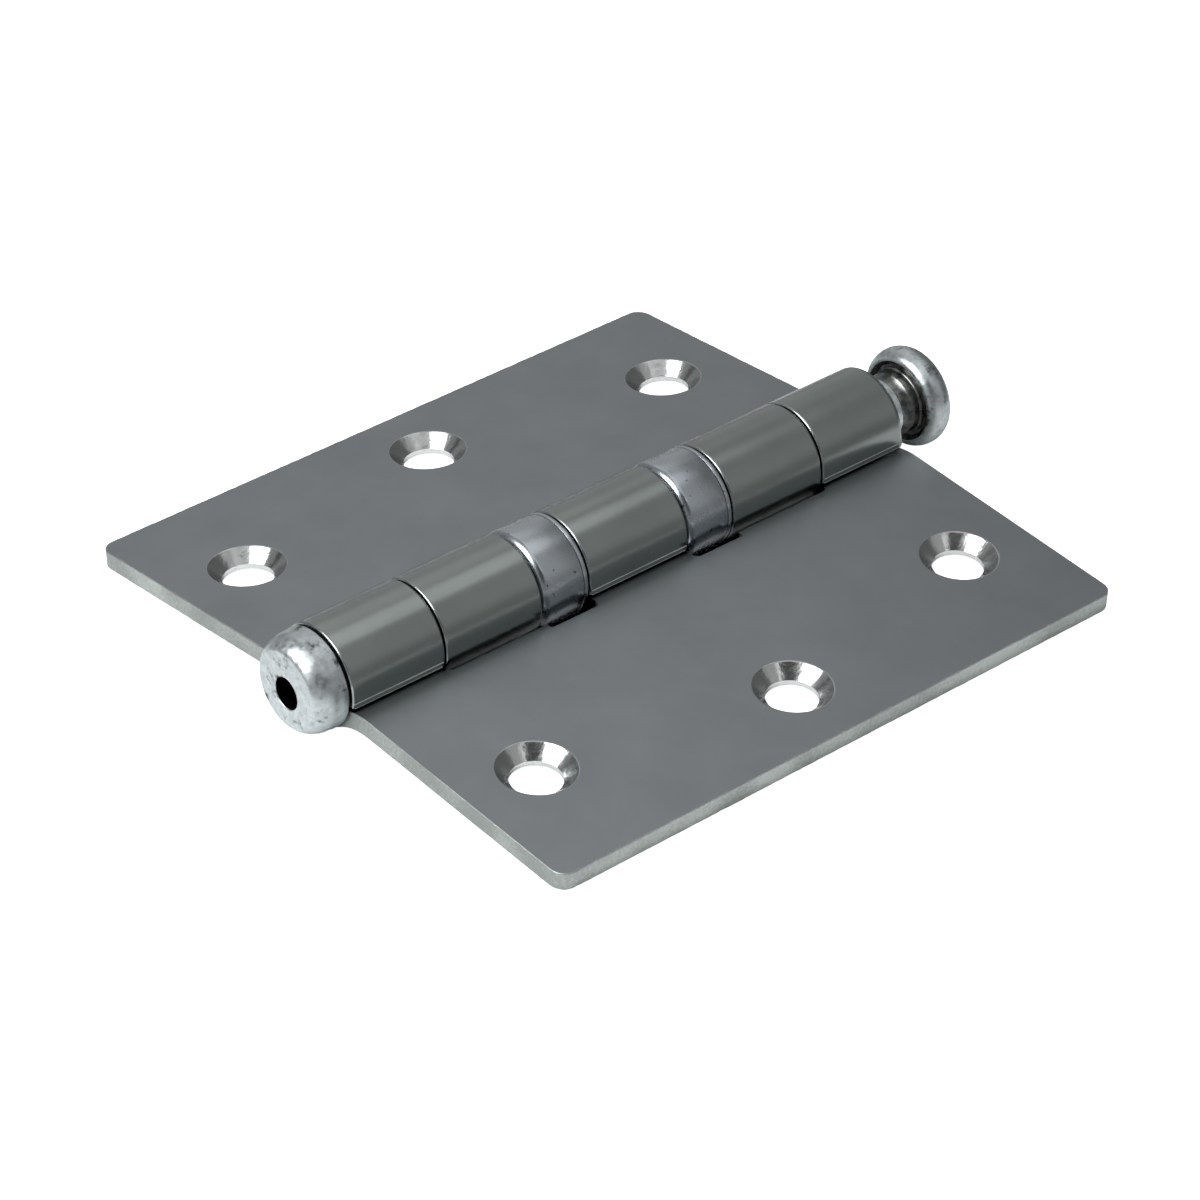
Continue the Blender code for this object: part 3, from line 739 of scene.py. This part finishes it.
# The plain wall of each hole below its countersink, reamed bright. Its near-white colour is painted
# light, so that it looks lit like the white backdrop seen through the hole
HAZE_SIZE = 0.6 * MM
hole_wall_painted_light, tree, shader, place = new_material("reamed_steel_painted_light")
haze = add_node(tree, "ShaderNodeTexNoise", {"Vector": place, "Scale": 1 / HAZE_SIZE, "Detail": 3.0})
gloss = add_node(tree, "ShaderNodeMapRange", {0: haze.outputs[0], **NOISE_SPAN, 3: 0.2, 4: 0.3})
fill_inputs(tree, shader, {"Roughness": gloss.outputs[0], "Base Color": colour("#EEF0F0")})

leaf_tree = rolling_tree()
leaf_sizes = {
    "Middle depth": MIDDLE_DEPTH,
    "Swage radius": SWAGE_RADIUS,
    "Swage reach": SWAGE_REACH,
    "Swage length": SWAGE_LENGTH,
    "Curl radius": CURL_RADIUS,
    "Curl length": CURL_ANGLE * CURL_RADIUS - TAIL,
    "Droop": DROOP,
    "Axis": AXIS,
    "Coating": coating,
    "Sheared edge": sheared,
    "Turned sink": turned,
    "Hole wall": hole_wall_painted_light,
}
front_knuckles = [(-HALF_LENGTH, -OUTER_START), (-CENTRE_END, CENTRE_END), (OUTER_START, HALF_LENGTH)]
back_knuckles = [(-INNER_END, -INNER_START), (INNER_START, INNER_END)]
for body_name, side, knuckles in (("front", -1.0, front_knuckles), ("back", 1.0, back_knuckles)):
    leaf = flat_blank(f"{body_name}_rolled_leaf", knuckles, mirrored=side < 0)
    leaf.data.materials.append(coating)
    apply_tree(leaf, leaf_tree, {**leaf_sizes, "Side": side})
    leaf.data.set_sharp_from_angle(angle=SHARP_ANGLE)
    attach(leaf, body_name)
    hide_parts(f"{body_name}_leaf")


# Bearings
# Each is a drawn cup, plated bluish, over two hardened races with sixteen steel balls between them.
# The cup and lower race turn with the knuckle at the left, the upper race with the one at the right.

COVER_WALL = 0.4 * MM
COVER_FLOOR = 0.5 * MM
COVER_ROUND = 1.1 * MM
LOWER_RACE = 2.2 * MM
RACE_SHOULDER = 0.6 * MM
GROOVE_DEPTH = 0.35 * MM
BALL_RADIUS = 0.9 * MM
BALL_GAP = 0.2 * MM
BALLS = 16
PIN_RADIUS = 4.0 * MM
MOUTH_GAP = 0.08 * MM
MOUTH_BREAK = 0.04 * MM
EDGE_BREAK = 0.12 * MM
TURNED_STEPS = 128
CUP_STEPS = 12
BREAK_STEPS = 3
GROOVE_STEPS = 8
BALL_SUBDIVISIONS = 3
SAME_POINT = 0.001 * MM
BEARING_WIDTH = BEARING_END - BEARING_START
COVER_BORE = BARREL_RADIUS - COVER_WALL
RACE_RADIUS = COVER_BORE - FIT_GAP
PITCH_RADIUS = (PIN_RADIUS + COVER_BORE) / 2
LOWER_BACK = COVER_FLOOR + FIT_GAP
LOWER_FACE = LOWER_BACK + LOWER_RACE
BALL_STATION = LOWER_FACE + BALL_GAP + BALL_RADIUS - GROOVE_DEPTH
UPPER_FACE = BALL_STATION + BALL_RADIUS + BALL_GAP - GROOVE_DEPTH
SHOULDER_START = BEARING_WIDTH - RACE_SHOULDER


def arc(centre, radius, start, end, steps):
    """Points of a turned profile, round a centre from one angle to another."""
    turns = [start + (end - start) * step / steps for step in range(steps + 1)]
    return [(centre[0] + radius * cos(turn), centre[1] + radius * sin(turn)) for turn in turns]


def turned_piece(name, profile, start, material, closed=True, inner=None):
    """A profile of (x, radius) turned about the hinge's axis. An open one starts and ends on it. Inner
    is a second material, for the faces that lie within its reach of x and its reach of radius."""
    shape = bmesh.new()
    corners = [shape.verts.new((start + x, 0.0, radius)) for x, radius in profile]
    ends = corners[1:] + corners[:1] if closed else corners[1:]
    edges = [shape.edges.new(pair) for pair in zip(corners, ends)]
    bmesh.ops.spin(
        shape,
        geom=corners + edges,
        cent=(0.0, 0.0, 0.0),
        axis=(1.0, 0.0, 0.0),
        angle=tau,
        steps=TURNED_STEPS,
        use_merge=True,
    )
    bmesh.ops.remove_doubles(shape, verts=shape.verts[:], dist=SAME_POINT)
    bmesh.ops.recalc_face_normals(shape, faces=shape.faces[:])
    materials = [material]
    if inner:
        second, (first_x, last_x), (least, most) = inner
        materials.append(second)
        for face in shape.faces:
            centre = face.calc_center_median()
            if first_x < centre.x < last_x and least < hypot(centre.y, centre.z) < most:
                face.material_index = 1
    bmesh.ops.translate(shape, verts=shape.verts[:], vec=AXIS)
    mesh = as_mesh(shape, name, *materials)
    mesh.shade_smooth()
    mesh.set_sharp_from_angle(angle=SHARP_ANGLE)
    return add_object(name, mesh)


def ball_ring_tree():
    """Sets a ball at each point of a circle across the pin, and makes them one piece."""
    sockets = {
        "Geometry": ("Ball",),
        "Int": ("Balls",),
        "Float": ("Pitch radius",),
        "Vector": ("Centre",),
        "Material": ("Steel",),
    }
    tree, given = new_tree("ball_ring", "Ring", sockets)
    inputs = {"Vertices": given["Balls"], "Radius": given["Pitch radius"]}
    circle = add_node(tree, "GeometryNodeMeshCircle", inputs).outputs[0]
    inputs = {"Geometry": circle, "Rotation": (0.0, pi / 2, 0.0)}
    upright = add_node(tree, "GeometryNodeTransform", inputs).outputs[0]
    inputs = {"Geometry": upright, "Translation": given["Centre"]}
    moved = add_node(tree, "GeometryNodeTransform", inputs).outputs[0]
    inputs = {"Points": moved, "Instance": given["Ball"]}
    balls = add_node(tree, "GeometryNodeInstanceOnPoints", inputs).outputs[0]
    whole = add_node(tree, "GeometryNodeRealizeInstances", {0: balls}).outputs[0]
    inputs = {"Geometry": whole, "Material": given["Steel"]}
    steel = add_node(tree, "GeometryNodeSetMaterial", inputs).outputs[0]
    add_node(tree, "NodeGroupOutput", {0: steel})
    return tree


# Ground and polished bearing steel: almost a mirror, with grinding too fine to see but as a haze
bearing_steel, tree, shader, place = new_material("polished_bearing_steel")
haze = add_node(tree, "ShaderNodeTexNoise", {"Vector": place, "Scale": 1 / HAZE_SIZE, "Detail": 3.0})
gloss = add_node(tree, "ShaderNodeMapRange", {0: haze.outputs[0], **NOISE_SPAN, 3: 0.1, 4: 0.2})
fill_inputs(tree, shader, {"Roughness": gloss.outputs[0], "Base Color": colour("#BFC0C3")})

# Blue-passivated zinc on drawn steel: smooth, bluish, with faint drawing lines round the barrel and
# small dark specks
LINE_WIDTH, STAIN_SIZE, SPECK_SIZE = 0.3 * MM, 1.5 * MM, 0.9 * MM
SPECK_SPAN = {1: 0.7, 2: 0.74}
plating, tree, shader, place = new_material("blue_zinc_plate")
band = add_node(tree, "ShaderNodeSeparateXYZ", {0: place}).outputs["X"]
inputs = {"W": band, "Scale": 1 / LINE_WIDTH, "Detail": 3.0}
lines = add_node(tree, "ShaderNodeTexNoise", inputs, noise_dimensions="1D")
cloud = add_node(tree, "ShaderNodeTexNoise", {"Vector": place, "Scale": 1 / STAIN_SIZE, "Detail": 5.0})
inputs = {0: cloud.outputs[0], 6: colour("#B1B8BD"), 7: colour("#BCC3C8")}
tint = add_node(tree, "ShaderNodeMix", inputs, data_type="RGBA")
specks = add_node(tree, "ShaderNodeTexNoise", {"Vector": place, "Scale": 1 / SPECK_SIZE, "Detail": 2.0})
dark = add_node(tree, "ShaderNodeMapRange", {0: specks.outputs[0], **SPECK_SPAN})
inputs = {0: dark.outputs[0], 6: tint.outputs[2], 7: colour("#5A6166")}
spotted = add_node(tree, "ShaderNodeMix", inputs, data_type="RGBA")
gloss = add_node(tree, "ShaderNodeMapRange", {0: cloud.outputs[0], **NOISE_SPAN, 3: 0.22, 4: 0.3})
inputs = {"Strength": 0.05, "Distance": 0.02 * MM, "Height": lines.outputs[0]}
fine = add_node(tree, "ShaderNodeBump", inputs)
surface = {
    "Base Color": spotted.outputs[2],
    "Roughness": gloss.outputs[0],
    "Normal": fine.outputs[0],
}
fill_inputs(tree, shader, surface)

mouth = SHOULDER_START - MOUTH_GAP
cup = [
    (0.0, BORE_RADIUS + EDGE_BREAK),
    *arc((COVER_ROUND, BARREL_RADIUS - COVER_ROUND), COVER_ROUND, pi, pi / 2, CUP_STEPS),
    *arc((mouth - MOUTH_BREAK, BARREL_RADIUS - MOUTH_BREAK), MOUTH_BREAK, pi / 2, 0.0, BREAK_STEPS),
    (mouth, COVER_BORE),
    (COVER_FLOOR, COVER_BORE),
    (COVER_FLOOR, BORE_RADIUS),
    (EDGE_BREAK, BORE_RADIUS),
]


def groove(face, direction):
    """The ball track in a race: an arc whose lowest point is a little below the face."""
    radius = BALL_RADIUS + BALL_GAP
    rise = radius - GROOVE_DEPTH
    half = acos(rise / radius)
    turns = [half * (2 * step / GROOVE_STEPS - 1) for step in range(GROOVE_STEPS + 1)]
    track = [(rise - radius * cos(turn), radius * sin(turn)) for turn in turns]
    return [(face + direction * sunk, PITCH_RADIUS + across) for sunk, across in track]


lower_race = [
    (LOWER_BACK, BORE_RADIUS),
    (LOWER_FACE, BORE_RADIUS),
    *groove(LOWER_FACE, 1.0),
    (LOWER_FACE, RACE_RADIUS),
    (LOWER_BACK, RACE_RADIUS),
]
upper_race = [
    (BEARING_WIDTH, BORE_RADIUS),
    (UPPER_FACE, BORE_RADIUS),
    *groove(UPPER_FACE, -1.0),
    (UPPER_FACE, RACE_RADIUS),
    (SHOULDER_START, RACE_RADIUS),
    *arc((SHOULDER_START + MOUTH_BREAK, BARREL_RADIUS - MOUTH_BREAK), MOUTH_BREAK, pi, pi / 2, BREAK_STEPS),
    *arc((BEARING_WIDTH - EDGE_BREAK, BARREL_RADIUS - EDGE_BREAK), EDGE_BREAK, pi / 2, 0.0, BREAK_STEPS),
]

ring_tree = ball_ring_tree()
for number, start, left, right in (
    (1, -BEARING_END, "back", "front"),
    (2, BEARING_START, "front", "back"),
):
    bearing = f"bearing_{number}"
    for part, profile, material, body_name, slot_name in (
        ("cover", cup, plating, left, "bearing_plating"),
        ("lower_race", lower_race, bearing_steel, left, "hard_steel"),
        ("upper_race", upper_race, plating, right, "bearing_plating"),
    ):
        piece = turned_piece(f"{bearing}_turned_{part}", profile, start, material)
        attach(piece, body_name)
        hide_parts(f"{bearing}_{part}")
    shape = bmesh.new()
    bmesh.ops.create_icosphere(shape, subdivisions=BALL_SUBDIVISIONS, radius=BALL_RADIUS)
    ball_mesh = as_mesh(shape, f"{bearing}_ring_of_balls", bearing_steel)
    ball_mesh.shade_smooth()
    balls = add_object(f"{bearing}_ring_of_balls", ball_mesh)
    centre = AXIS + Vector((start + BALL_STATION, 0.0, 0.0))
    ring = {"Balls": BALLS, "Pitch radius": PITCH_RADIUS, "Centre": centre, "Steel": bearing_steel}
    apply_tree(balls, ring_tree, ring)
    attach(balls, f"{bearing}_balls")
    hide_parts(*[f"{bearing}_ball_{ball:02d}" for ball in range(1, BALLS + 1)])


# Pin
# A loose steel pin with a button head, headed cold and zinc plated. It stands a little out of the
# barrel, so its grooved neck shows, and it drops in from the right.

PIN_HEAD_RADIUS = 6.69 * MM
PIN_HEAD_HEIGHT = 4.2 * MM
PIN_HEAD_FACE = 4.6 * MM
PIN_RIM_WIDTH = 1.2 * MM
PIN_RIM_DEPTH = 1.9 * MM
PIN_TIP_CHAMFER = 0.8 * MM
RECESS_DEPTH = 0.6 * MM
RECESS_LIP = 0.12 * MM
RECESS_WIDTH = 0.3 * MM
NECK_FILLET = 0.3 * MM
FILLET_STEPS = 8
PIN_SHOULDER_STEPS = 14
NECK_FLARE = 0.85 * MM
NECK_END_RADIUS = 4.25 * MM
NECK_GROOVE_FROM_HEAD = 2.2 * MM
NECK_GROOVE_WIDTH = 0.5 * MM
NECK_GROOVE_DEPTH = 0.4 * MM
PIN_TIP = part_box("pin")[0].x - AXIS.x
HEAD_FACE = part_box("pin")[1].x - AXIS.x
HEAD_UNDERSIDE = HEAD_FACE - PIN_HEAD_HEIGHT


def button_shoulder(face_x, face_radius, full_radius, depth, steps, power=1.0):
    """A quarter ellipse from the edge of a button's flat face to its full radius. A power above one
    makes its middle straighter, nearer to a chamfer."""
    reach = full_radius - face_radius
    points = []
    for step in range(steps + 1):
        turn = pi / 2 * step / steps
        fall = 1.0 - max(cos(turn), 0.0) ** power
        points.append((face_x + depth * fall, face_radius + reach * sin(turn) ** power))
    return points


# Bright zinc plate on turned steel: light, mottled by the plating's crystals, with darker smudges
# and knocks, and turning rings on the faces. The sides of the plug and of the pin's head are painted
# darker than their faces, as painted shade.
TURNING_WIDTH, CRYSTAL_SIZE, SMUDGE_SIZE = 0.25 * MM, 0.8 * MM, 1.7 * MM
SMUDGE_SPAN = {1: 0.57, 2: 0.7}
SIDE_SHADE_SPAN, SIDE_PAINTED_SHADE = {1: 5.3 * MM, 2: 6.4 * MM}, 0.35
zinc, tree, shader, place = new_material("bright_zinc_plate")
offset = add_node(tree, "ShaderNodeVectorMath", {0: place, 1: AXIS}, operation="SUBTRACT").outputs[0]
inputs = {0: offset, 1: (0.0, 1.0, 1.0)}
flat = add_node(tree, "ShaderNodeVectorMath", inputs, operation="MULTIPLY").outputs[0]
radial = add_node(tree, "ShaderNodeVectorMath", {0: flat}, operation="LENGTH").outputs["Value"]
forward = add_node(tree, "ShaderNodeSeparateXYZ", {0: offset}).outputs["X"]
travel = add_node(tree, "ShaderNodeMath", {0: radial, 1: forward}, operation="ADD").outputs[0]
inputs = {"W": travel, "Scale": 1 / TURNING_WIDTH, "Detail": 3.0}
rings = add_node(tree, "ShaderNodeTexNoise", inputs, noise_dimensions="1D")
inputs = {"Vector": place, "Scale": 1 / CRYSTAL_SIZE, "Detail": 6.0, "Roughness": 0.65}
mottle = add_node(tree, "ShaderNodeTexNoise", inputs)
mix = add_node(tree, "ShaderNodeMapRange", {0: mottle.outputs[0], **MIDDLE_SPAN})
inputs = {0: mix.outputs[0], 6: colour("#C4CBCD"), 7: colour("#E6EEF0")}
tint = add_node(tree, "ShaderNodeMix", inputs, data_type="RGBA")
inputs = {"Vector": place, "Scale": 1 / SMUDGE_SIZE, "Detail": 5.0, "Roughness": 0.6}
smudge = add_node(tree, "ShaderNodeTexNoise", inputs)
# Painted shade: from one radius out to another, the sides are darker than the faces
side = add_node(tree, "ShaderNodeMapRange", {0: radial, **SIDE_SHADE_SPAN, 4: SIDE_PAINTED_SHADE})
inputs = {0: side.outputs[0], 6: tint.outputs[2], 7: colour("#A3AAAD")}
side_shaded = add_node(tree, "ShaderNodeMix", inputs, data_type="RGBA")
dark = add_node(tree, "ShaderNodeMapRange", {0: smudge.outputs[0], **SMUDGE_SPAN})
inputs = {0: dark.outputs[0], 6: side_shaded.outputs[2], 7: colour("#5E6465")}
smudged = add_node(tree, "ShaderNodeMix", inputs, data_type="RGBA")
gloss = add_node(tree, "ShaderNodeMapRange", {0: mottle.outputs[0], **NOISE_SPAN, 3: 0.28, 4: 0.46})
inputs = {"Strength": 0.1, "Distance": 0.02 * MM, "Height": rings.outputs[0]}
turning = add_node(tree, "ShaderNodeBump", inputs)
inputs = {"Strength": 0.4, "Distance": 0.08 * MM, "Height": smudge.outputs[0], "Normal": turning.outputs[0]}
dents = add_node(tree, "ShaderNodeBump", inputs)
inputs = {"Strength": 0.25, "Distance": 0.03 * MM, "Height": mottle.outputs[0], "Normal": dents.outputs[0]}
crystals = add_node(tree, "ShaderNodeBump", inputs)
surface = {
    "Base Color": smudged.outputs[2],
    "Roughness": gloss.outputs[0],
    "Normal": crystals.outputs[0],
}
fill_inputs(tree, shader, surface)

# Glossy steel with an uneven tone, painted dark as painted shade on the pin's neck, between the
# barrel and the head, and in its head's recess, and painted almost black as painted shade inside the
# plug's drift hole
BLOTCH_SIZE = 1.1 * MM
painted_shade_finishes = []
for name, darkest, lightest in (
    ("steel_painted_dark_shade", "#585B5E", "#92938E"),
    ("bore_painted_black_shade", "#191A1F", "#303238"),
):
    shade_steel, tree, shader, place = new_material(name)
    blotches = add_node(tree, "ShaderNodeTexNoise", {"Vector": place, "Scale": 1 / BLOTCH_SIZE, "Detail": 4.0})
    tone = add_node(tree, "ShaderNodeMapRange", {0: blotches.outputs[0], **MIDDLE_SPAN})
    inputs = {0: tone.outputs[0], 6: colour(darkest), 7: colour(lightest)}
    tint = add_node(tree, "ShaderNodeMix", inputs, data_type="RGBA")
    gloss = add_node(tree, "ShaderNodeMapRange", {0: blotches.outputs[0], **NOISE_SPAN, 3: 0.24, 4: 0.36})
    fill_inputs(tree, shader, {"Base Color": tint.outputs[2], "Roughness": gloss.outputs[0]})
    painted_shade_finishes.append(shade_steel)
neck_painted_shade, bore_painted_shade = painted_shade_finishes

rim_start = PIN_HEAD_RADIUS - PIN_RIM_WIDTH
ring_radius = NECK_END_RADIUS + NECK_FILLET
ring_step = HEAD_UNDERSIDE + 0.5 * NECK_FILLET
recess_floor = HEAD_UNDERSIDE + RECESS_DEPTH
groove_end = HEAD_UNDERSIDE - NECK_GROOVE_FROM_HEAD
groove_start = groove_end - NECK_GROOVE_WIDTH
groove_radius = PIN_RADIUS - NECK_GROOVE_DEPTH
crown_depth = PIN_HEAD_HEIGHT - PIN_RIM_DEPTH - RECESS_LIP
pin_profile = [
    (PIN_TIP, 0.0),
    (PIN_TIP, PIN_RADIUS - PIN_TIP_CHAMFER),
    (PIN_TIP + PIN_TIP_CHAMFER, PIN_RADIUS),
    (groove_start - EDGE_BREAK, PIN_RADIUS),
    (groove_start, PIN_RADIUS - EDGE_BREAK),
    (groove_start, groove_radius),
    (groove_end, groove_radius),
    (groove_end + NECK_FLARE, NECK_END_RADIUS - EDGE_BREAK),
    (groove_end + NECK_FLARE + EDGE_BREAK, NECK_END_RADIUS),
    *arc((ring_step - NECK_FILLET, ring_radius), NECK_FILLET, 1.5 * pi, tau, FILLET_STEPS),
    (recess_floor, ring_radius),
    (recess_floor, ring_radius + RECESS_WIDTH),
    *arc((HEAD_UNDERSIDE + RECESS_LIP, rim_start), RECESS_LIP, 1.5 * pi, pi, BREAK_STEPS),
    *button_shoulder(HEAD_UNDERSIDE, rim_start, PIN_HEAD_RADIUS, PIN_RIM_DEPTH, PIN_SHOULDER_STEPS),
    *reversed(button_shoulder(HEAD_FACE, PIN_HEAD_FACE, PIN_HEAD_RADIUS, -crown_depth, PIN_SHOULDER_STEPS)),
    (HEAD_FACE, 0.0),
]
neck_x = (groove_start - 0.25 * EDGE_BREAK, recess_floor + EDGE_BREAK)
# The neck and the head's recess take the steel painted dark as painted shade
neck = (neck_painted_shade, neck_x, (0.0, rim_start - 0.5 * RECESS_LIP))
pin = turned_piece("headed_pin", pin_profile, 0.0, zinc, closed=False, inner=neck)
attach(pin, "pin")
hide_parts("pin")


# End plug
# A turned and zinc plated button with a drift hole through it, pressed into the first knuckle. Its
# shoulder is tumbled round, and a low lip runs round it beside the knuckle.

PLUG_FACE_RADIUS = 4.9 * MM
PLUG_BODY_RADIUS = 6.4 * MM
PLUG_HEAD_RADIUS = 6.48 * MM
PLUG_HEAD_HEIGHT = 4.5 * MM
PLUG_SHOULDER = 2.6 * MM
SHOULDER_POWER = 1.2
PLUG_LIP_WIDTH = 0.9 * MM
PLUG_RIM_ROUND = 0.25 * MM
PLUG_HOLE = 2.12 * MM
PLUG_HOLE_ROUND = 0.15 * MM
PLUG_SHOULDER_STEPS = 16
PLUG_RIM_STEPS = 6
HOLE_OFFSET = 0.5 * MM
PLUG_SHANK = BORE_RADIUS - FIT_GAP
PLUG_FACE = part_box("end_plug")[0].x - AXIS.x
PLUG_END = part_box("end_plug")[1].x - AXIS.x
PLUG_SEAT = PLUG_FACE + PLUG_HEAD_HEIGHT

hole_start = PLUG_FACE + PLUG_HOLE_ROUND
shoulder_sizes = (PLUG_FACE_RADIUS, PLUG_BODY_RADIUS, PLUG_SHOULDER, PLUG_SHOULDER_STEPS, SHOULDER_POWER)
shoulder = button_shoulder(PLUG_FACE, *shoulder_sizes)
rim_centre = (PLUG_SEAT - PLUG_RIM_ROUND, PLUG_HEAD_RADIUS - PLUG_RIM_ROUND)
plug_profile = [
    *arc((hole_start, PLUG_HOLE + PLUG_HOLE_ROUND), PLUG_HOLE_ROUND, 1.5 * pi, pi, ROUND_STEPS),
    *shoulder,
    (PLUG_SEAT - PLUG_LIP_WIDTH - PLUG_RIM_ROUND, PLUG_BODY_RADIUS),
    (PLUG_SEAT - PLUG_LIP_WIDTH, PLUG_HEAD_RADIUS),
    *arc(rim_centre, PLUG_RIM_ROUND, pi / 2, 0.0, PLUG_RIM_STEPS),
    (PLUG_SEAT, PLUG_SHANK),
    (PLUG_END - EDGE_BREAK, PLUG_SHANK),
    (PLUG_END, PLUG_SHANK - EDGE_BREAK),
    (PLUG_END, PLUG_HOLE),
]
# The drift hole takes the steel painted almost black as painted shade
drift_hole = (bore_painted_shade, (hole_start, PLUG_END + EDGE_BREAK), (0.0, PLUG_HOLE + TOUCH))
plug = turned_piece("drilled_end_plug", plug_profile, 0.0, zinc, inner=drift_hole)
for corner in plug.data.vertices:
    if hypot(corner.co.y - AXIS.y, corner.co.z - AXIS.z) < PLUG_HOLE + PLUG_HOLE_ROUND + TOUCH:
        corner.co.z -= HOLE_OFFSET
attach(plug, "front")
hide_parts("end_plug")
